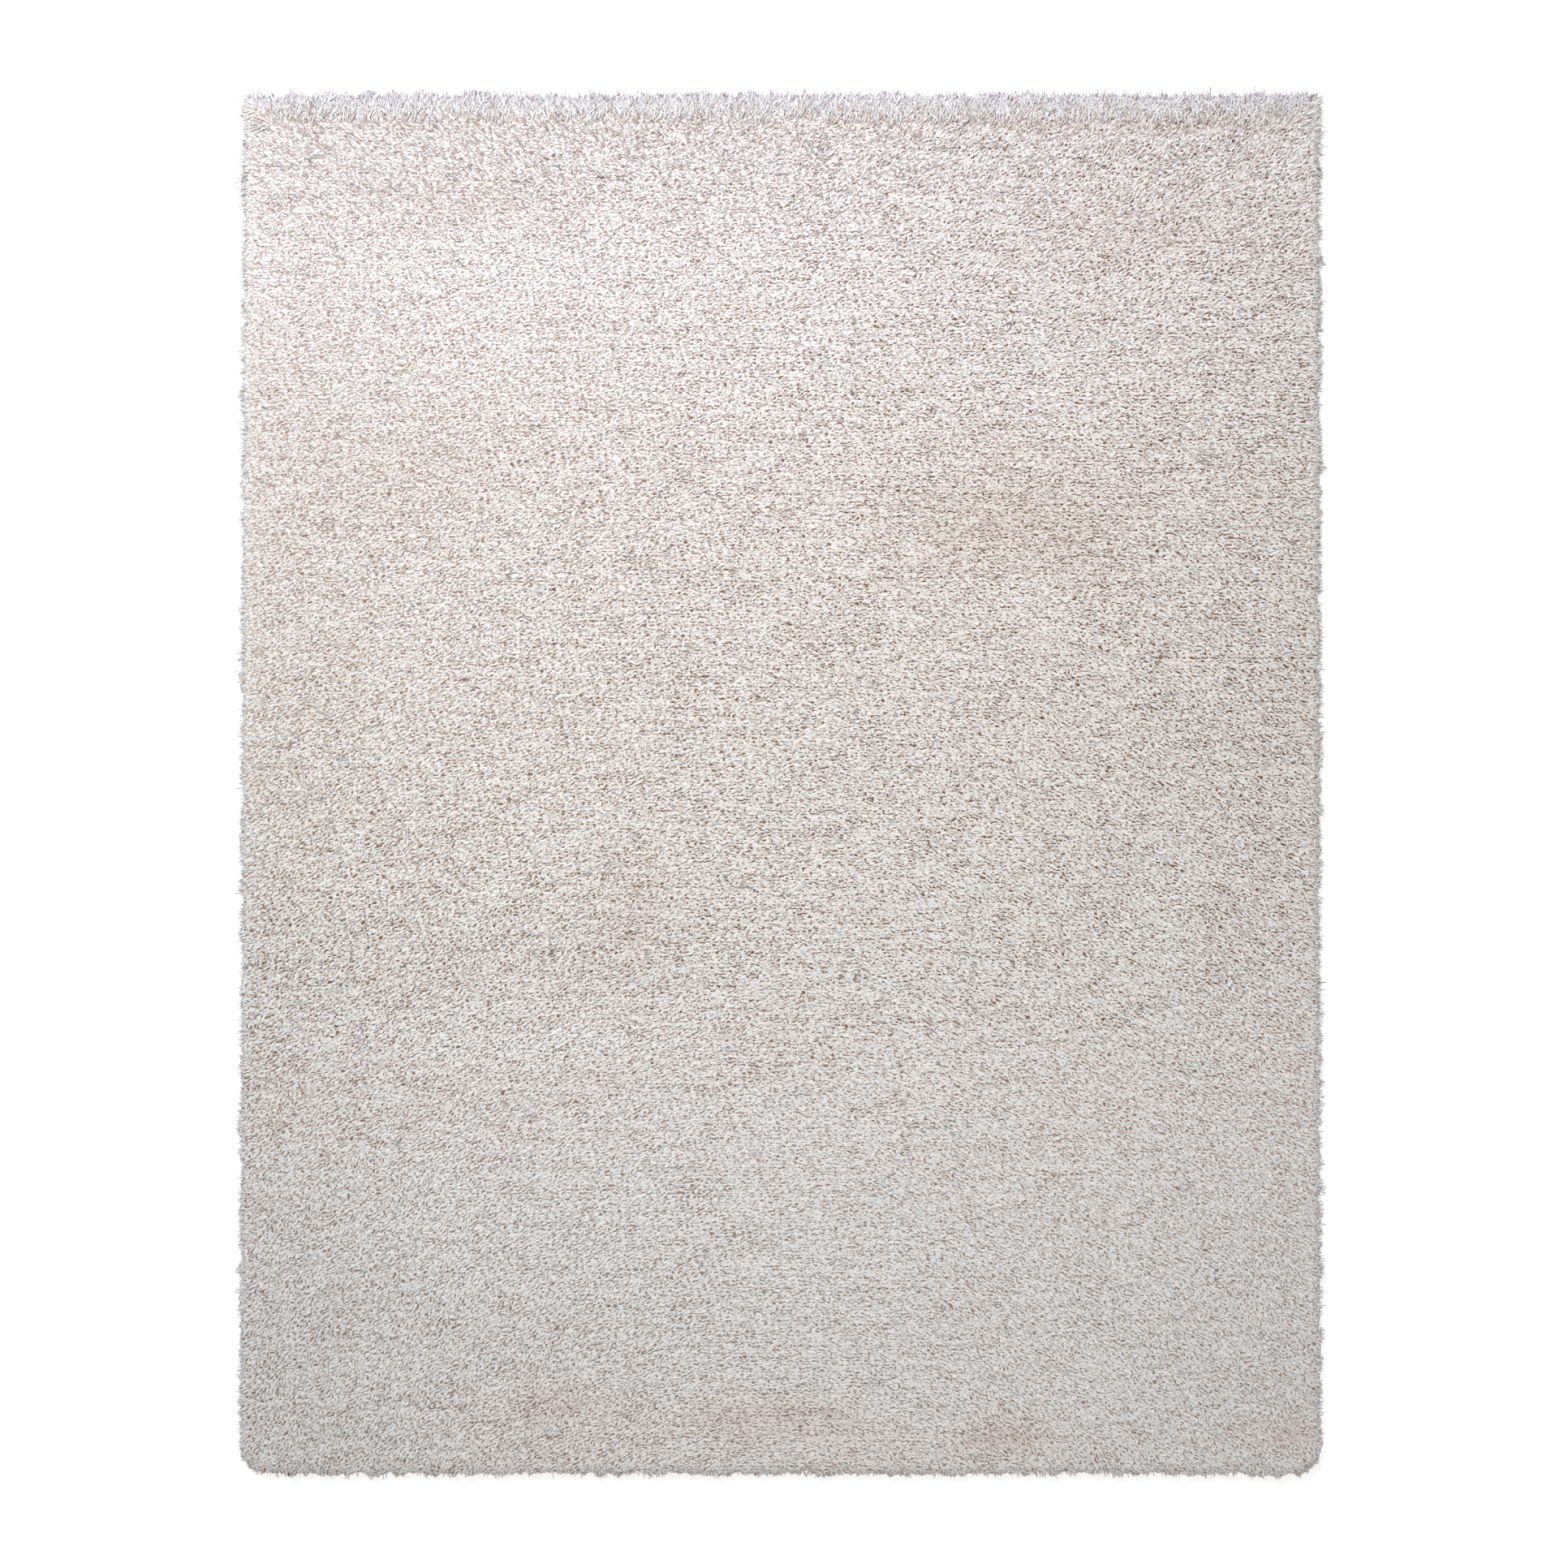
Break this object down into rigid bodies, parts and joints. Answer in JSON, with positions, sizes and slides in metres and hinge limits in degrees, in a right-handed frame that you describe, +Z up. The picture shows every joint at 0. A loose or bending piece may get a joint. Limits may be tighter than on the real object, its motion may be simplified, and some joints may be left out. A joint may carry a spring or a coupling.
{
  "type": "shag rug",
  "caption": "Rectangular shag rug of long ivory yarn locks on a woven ground cloth, lying flat, with a lumpy pile and locks past its rim.",
  "frame": {"origin": "on the floor, under the middle of the rug's box", "axes": "+Z up from the floor, +Y along the rug's length towards the edge that the nap is combed to, +X across the rug, to the right in the picture"},
  "size_m": [2.388, 3.0494, 0.0442],
  "materials": {
    "pile": "deep shag of matt twisted yarn, ivory with paler and tan strands mixed in"
  },
  "bodies": {
    "root": {"shag_rug": "pile"}
  },
  "joints": []
}
